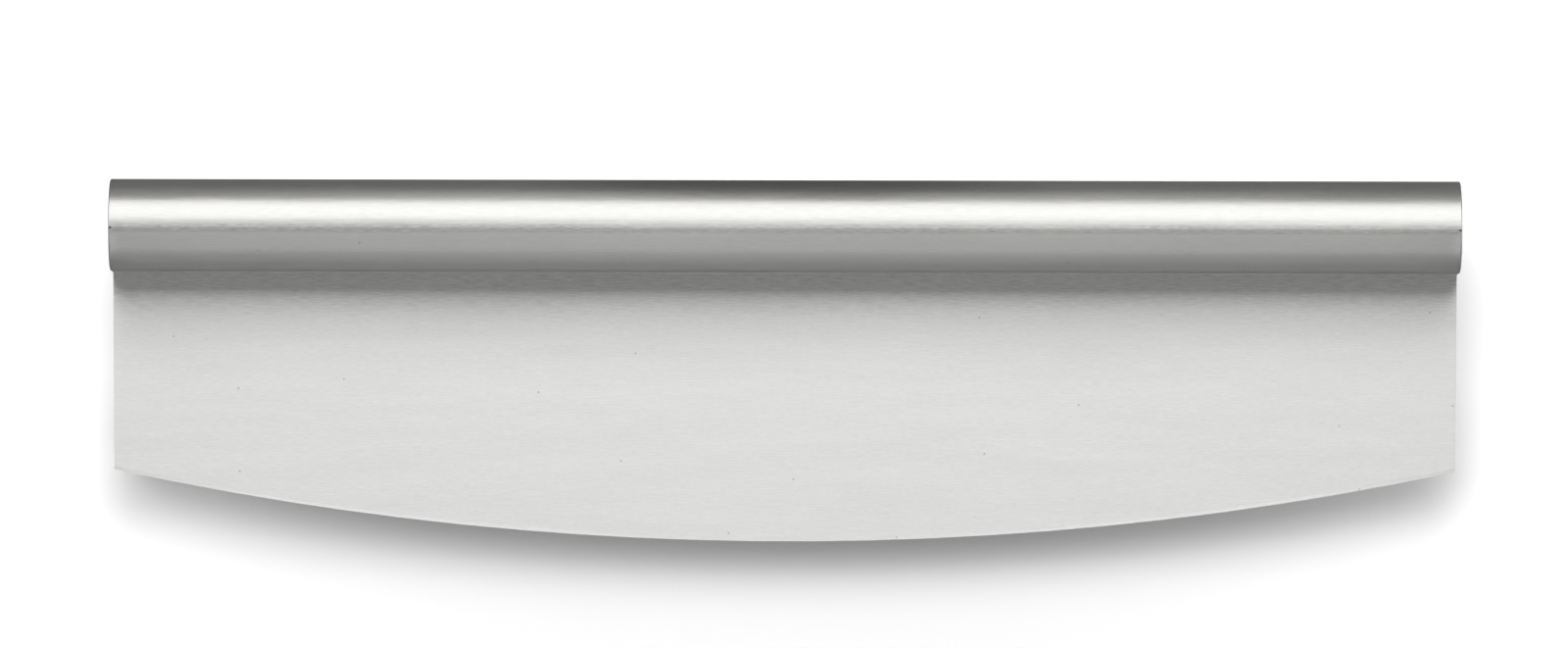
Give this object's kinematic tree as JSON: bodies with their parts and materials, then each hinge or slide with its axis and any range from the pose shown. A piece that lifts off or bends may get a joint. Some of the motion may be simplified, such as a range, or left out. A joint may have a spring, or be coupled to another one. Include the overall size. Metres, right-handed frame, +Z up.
{
  "type": "rocking pizza knife",
  "caption": "Steel rocking knife for pizza and herbs: a wide sheet blade with a curved edge, welded along a closed round tube handle.",
  "frame": {"origin": "middle of the footprint of the knife as it lies on its side on a table, at table height", "axes": "+X along the handle to the right, the cutting edge towards -Y, +Z up off the table"},
  "size_m": [0.367, 0.0984, 0.025],
  "materials": {
    "tube_steel": "satin, brushed along the tube",
    "blade_steel": "brushed along the handle's direction, with a ground edge",
    "weld_steel": "weld metal ground smooth"
  },
  "bodies": {
    "root": {"handle_tube": "tube_steel", "handle_seam_weld": "weld_steel", "end_cap_left": "tube_steel", "end_cap_right": "tube_steel", "cap_weld_left": "weld_steel", "cap_weld_right": "weld_steel", "blade": "blade_steel", "blade_weld_front": "weld_steel", "blade_weld_back": "weld_steel"}
  },
  "joints": []
}
